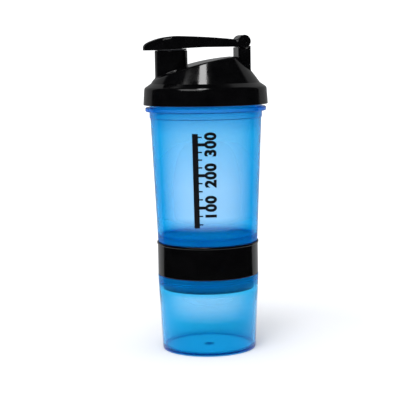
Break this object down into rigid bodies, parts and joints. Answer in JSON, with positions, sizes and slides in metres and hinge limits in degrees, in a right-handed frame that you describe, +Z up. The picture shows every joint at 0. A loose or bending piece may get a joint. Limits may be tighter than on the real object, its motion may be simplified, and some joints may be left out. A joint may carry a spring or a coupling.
{
  "type": "shaker bottle",
  "caption": "Screw-together shaker bottle: flip-cap spout lid with a mixing strainer, translucent cup, joiner ring with a divided tray, and a storage jar.",
  "frame": {"origin": "on the bottle's axis, on the surface that it stands on", "axes": "+Z up along the bottle's axis; the spout is towards -X and the hinge pin lies along Y"},
  "size_m": [0.092, 0.092, 0.2326],
  "materials": {
    "blue_pp": "translucent blue, moulded, semi-gloss",
    "black_pp": "black, moulded, glossy",
    "silicone": "black silicone, matt"
  },
  "bodies": {
    "jar": {"storage_jar": "blue_pp"},
    "jar_seal": {"jar_seal": "silicone"},
    "joiner": {"joiner_ring": "black_pp"},
    "pill_tray": {"pill_tray": "black_pp"},
    "cup_seal": {"cup_seal": "silicone"},
    "cup": {"cup": "blue_pp"},
    "lid_seal": {"lid_seal": "silicone"},
    "lid": {"lid": "black_pp", "hinge_pin": "black_pp"},
    "strainer": {"strainer": "black_pp"},
    "flip_cap": {"flip_cap": "black_pp", "spout_plug": "silicone"}
  },
  "joints": [
    {"name": "jar_lift", "type": "slide", "parent": "jar", "child": "jar_seal", "axis": [0, 0, 1], "range_m": [0, 0.0061]},
    {"name": "jar_turn", "type": "hinge", "parent": "jar_seal", "child": "joiner", "pos_m": [0, 0, 0], "axis": [0, 0, 1], "range_deg": [0, 540]},
    {"name": "tray_pull", "type": "slide", "parent": "joiner", "child": "pill_tray", "axis": [0, 0, -1], "range_m": [0, 0.024]},
    {"name": "cup_lift", "type": "slide", "parent": "joiner", "child": "cup_seal", "axis": [0, 0, 1], "range_m": [0, 0.0061]},
    {"name": "cup_turn", "type": "hinge", "parent": "cup_seal", "child": "cup", "pos_m": [0, 0, 0], "axis": [0, 0, 1], "range_deg": [0, 540]},
    {"name": "lid_lift", "type": "slide", "parent": "cup", "child": "lid_seal", "axis": [0, 0, 1], "range_m": [0, 0.0076]},
    {"name": "lid_turn", "type": "hinge", "parent": "lid_seal", "child": "lid", "pos_m": [0, 0, 0], "axis": [0, 0, 1], "range_deg": [0, 540]},
    {"name": "strainer_pull", "type": "slide", "parent": "lid", "child": "strainer", "axis": [0, 0, -1], "range_m": [0, 0.018]},
    {"name": "cap_hinge", "type": "hinge", "parent": "lid", "child": "flip_cap", "pos_m": [0.0276, 0, 0.2278], "axis": [0, 1, 0], "range_deg": [0, 110]}
  ],
  "couplings": [
    {"joint": "jar_lift", "follows": "jar_turn", "m_per_rad": 0.00063662},
    {"joint": "cup_lift", "follows": "cup_turn", "m_per_rad": 0.00063662},
    {"joint": "lid_lift", "follows": "lid_turn", "m_per_rad": 0.00079577}
  ]
}
